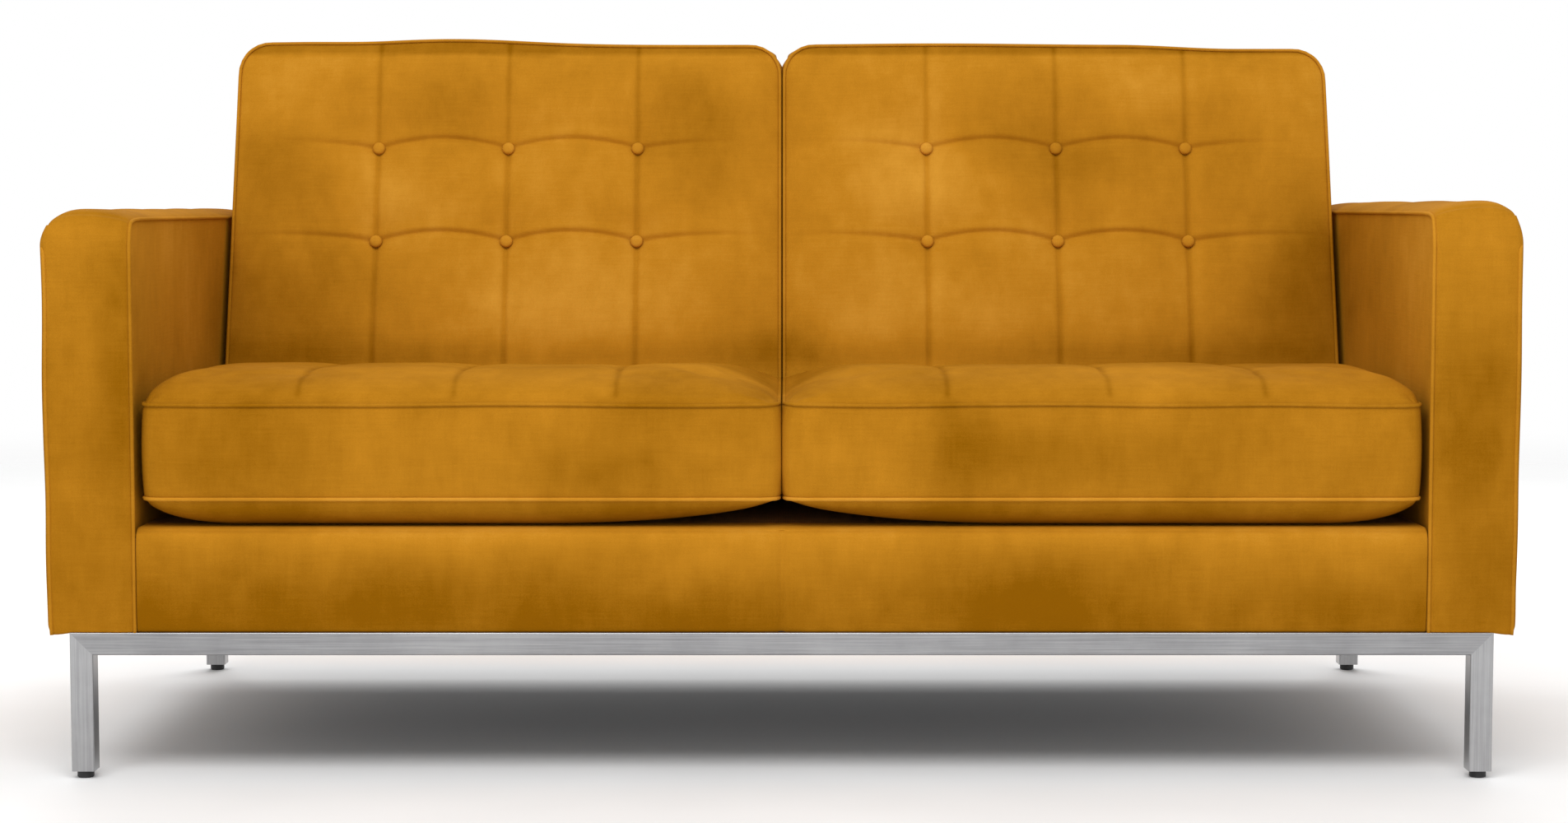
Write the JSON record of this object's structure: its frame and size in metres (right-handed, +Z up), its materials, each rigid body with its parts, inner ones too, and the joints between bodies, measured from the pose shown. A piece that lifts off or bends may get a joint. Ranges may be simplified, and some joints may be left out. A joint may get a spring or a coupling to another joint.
{
  "type": "two-seat sofa",
  "caption": "Velvet two-seat sofa: button-tufted leaning back sections, loose boxed and piped seat cushions and slab arms on a square-tube steel base.",
  "frame": {"origin": "on the floor, under the middle of the overall width and depth", "axes": "+X to the right of someone who stands in front, -Y out of the front, +Z up"},
  "size_m": [1.602, 0.79, 0.825],
  "materials": {
    "satin_steel": "satin-polished square steel tube with a fine grain along its length",
    "zinc_steel": "bright zinc-plated fasteners and fittings",
    "black_nylon": "black moulded nylon glide",
    "hardwood": "planed, unfinished frame timber",
    "plywood": "plain birch plywood and planed rails",
    "webbing": "woven elastic upholstery webbing",
    "deck_cloth": "padded woven deck cloth under the cushions",
    "dust_cloth": "thin black non-woven cloth",
    "foam": "open-cell upholstery foam with a thin wrap",
    "velvet": "mustard short-pile velvet with soft brushed patches",
    "velvet_trim": "piping and buttons covered in the same velvet",
    "zip_tape": "woven zip tape with a moulded coil"
  },
  "bodies": {
    "sofa_frame": {"base_front_tube": "satin_steel", "base_rear_tube": "satin_steel", "base_side_tube_left": "satin_steel", "base_side_tube_right": "satin_steel", "leg_front_left": "satin_steel", "leg_front_right": "satin_steel", "leg_rear_left": "satin_steel", "leg_rear_right": "satin_steel", "leg_inserts": "zinc_steel", "mounting_tabs": "satin_steel", "base_screws": "zinc_steel", "dust_cover": "dust_cloth", "front_seat_rail": "hardwood", "rear_seat_rail": "hardwood", "side_seat_rails": "hardwood", "centre_seat_rails": "hardwood", "back_support_rail": "hardwood", "corner_blocks": "hardwood", "frame_bolts": "zinc_steel", "arm_frame_left": "hardwood", "arm_frame_right": "hardwood", "back_frame_left": "plywood", "back_frame_right": "plywood", "seat_webbing": "webbing", "back_webbing": "webbing", "deck_pad": "deck_cloth", "front_rail_pad": "foam", "front_rail_cover": "velvet", "rear_rail_cover": "velvet", "arm_foam_left": "foam", "arm_foam_right": "foam", "arm_cover_left": "velvet", "arm_cover_right": "velvet", "arm_piping_left": "velvet_trim", "arm_piping_right": "velvet_trim", "back_foam_left": "foam", "back_foam_right": "foam", "back_cover_left": "velvet", "back_cover_right": "velvet", "back_piping_left": "velvet_trim", "back_piping_right": "velvet_trim", "back_buttons": "velvet_trim"},
    "seat_cushion_left": {"seat_foam_left": "foam", "seat_cover_left": "velvet", "seat_piping_left": "velvet_trim", "zip_left": "zip_tape"},
    "zip_pull_left": {"zip_slider_left": "zinc_steel"},
    "glide_front_left": {"glide_stud_front_left": "zinc_steel", "glide_pad_front_left": "black_nylon"},
    "glide_rear_left": {"glide_stud_rear_left": "zinc_steel", "glide_pad_rear_left": "black_nylon"},
    "seat_cushion_right": {"seat_foam_right": "foam", "seat_cover_right": "velvet", "seat_piping_right": "velvet_trim", "zip_right": "zip_tape"},
    "zip_pull_right": {"zip_slider_right": "zinc_steel"},
    "glide_front_right": {"glide_stud_front_right": "zinc_steel", "glide_pad_front_right": "black_nylon"},
    "glide_rear_right": {"glide_stud_rear_right": "zinc_steel", "glide_pad_rear_right": "black_nylon"}
  },
  "joints": [
    {"name": "cushion_left_lift", "type": "slide", "parent": "sofa_frame", "child": "seat_cushion_left", "axis": [0, 0, 1], "range_m": [0, 0.3]},
    {"name": "zip_left_pull", "type": "slide", "parent": "seat_cushion_left", "child": "zip_pull_left", "axis": [-1, 0, 0], "range_m": [0, 0.58]},
    {"name": "cushion_right_lift", "type": "slide", "parent": "sofa_frame", "child": "seat_cushion_right", "axis": [0, 0, 1], "range_m": [0, 0.3]},
    {"name": "zip_right_pull", "type": "slide", "parent": "seat_cushion_right", "child": "zip_pull_right", "axis": [1, 0, 0], "range_m": [0, 0.58]},
    {"name": "glide_front_left_screw", "type": "slide", "parent": "sofa_frame", "child": "glide_front_left", "axis": [0, 0, -1], "range_m": [0, 0.01]},
    {"name": "glide_front_right_screw", "type": "slide", "parent": "sofa_frame", "child": "glide_front_right", "axis": [0, 0, -1], "range_m": [0, 0.01]},
    {"name": "glide_rear_left_screw", "type": "slide", "parent": "sofa_frame", "child": "glide_rear_left", "axis": [0, 0, -1], "range_m": [0, 0.01]},
    {"name": "glide_rear_right_screw", "type": "slide", "parent": "sofa_frame", "child": "glide_rear_right", "axis": [0, 0, -1], "range_m": [0, 0.01]}
  ]
}
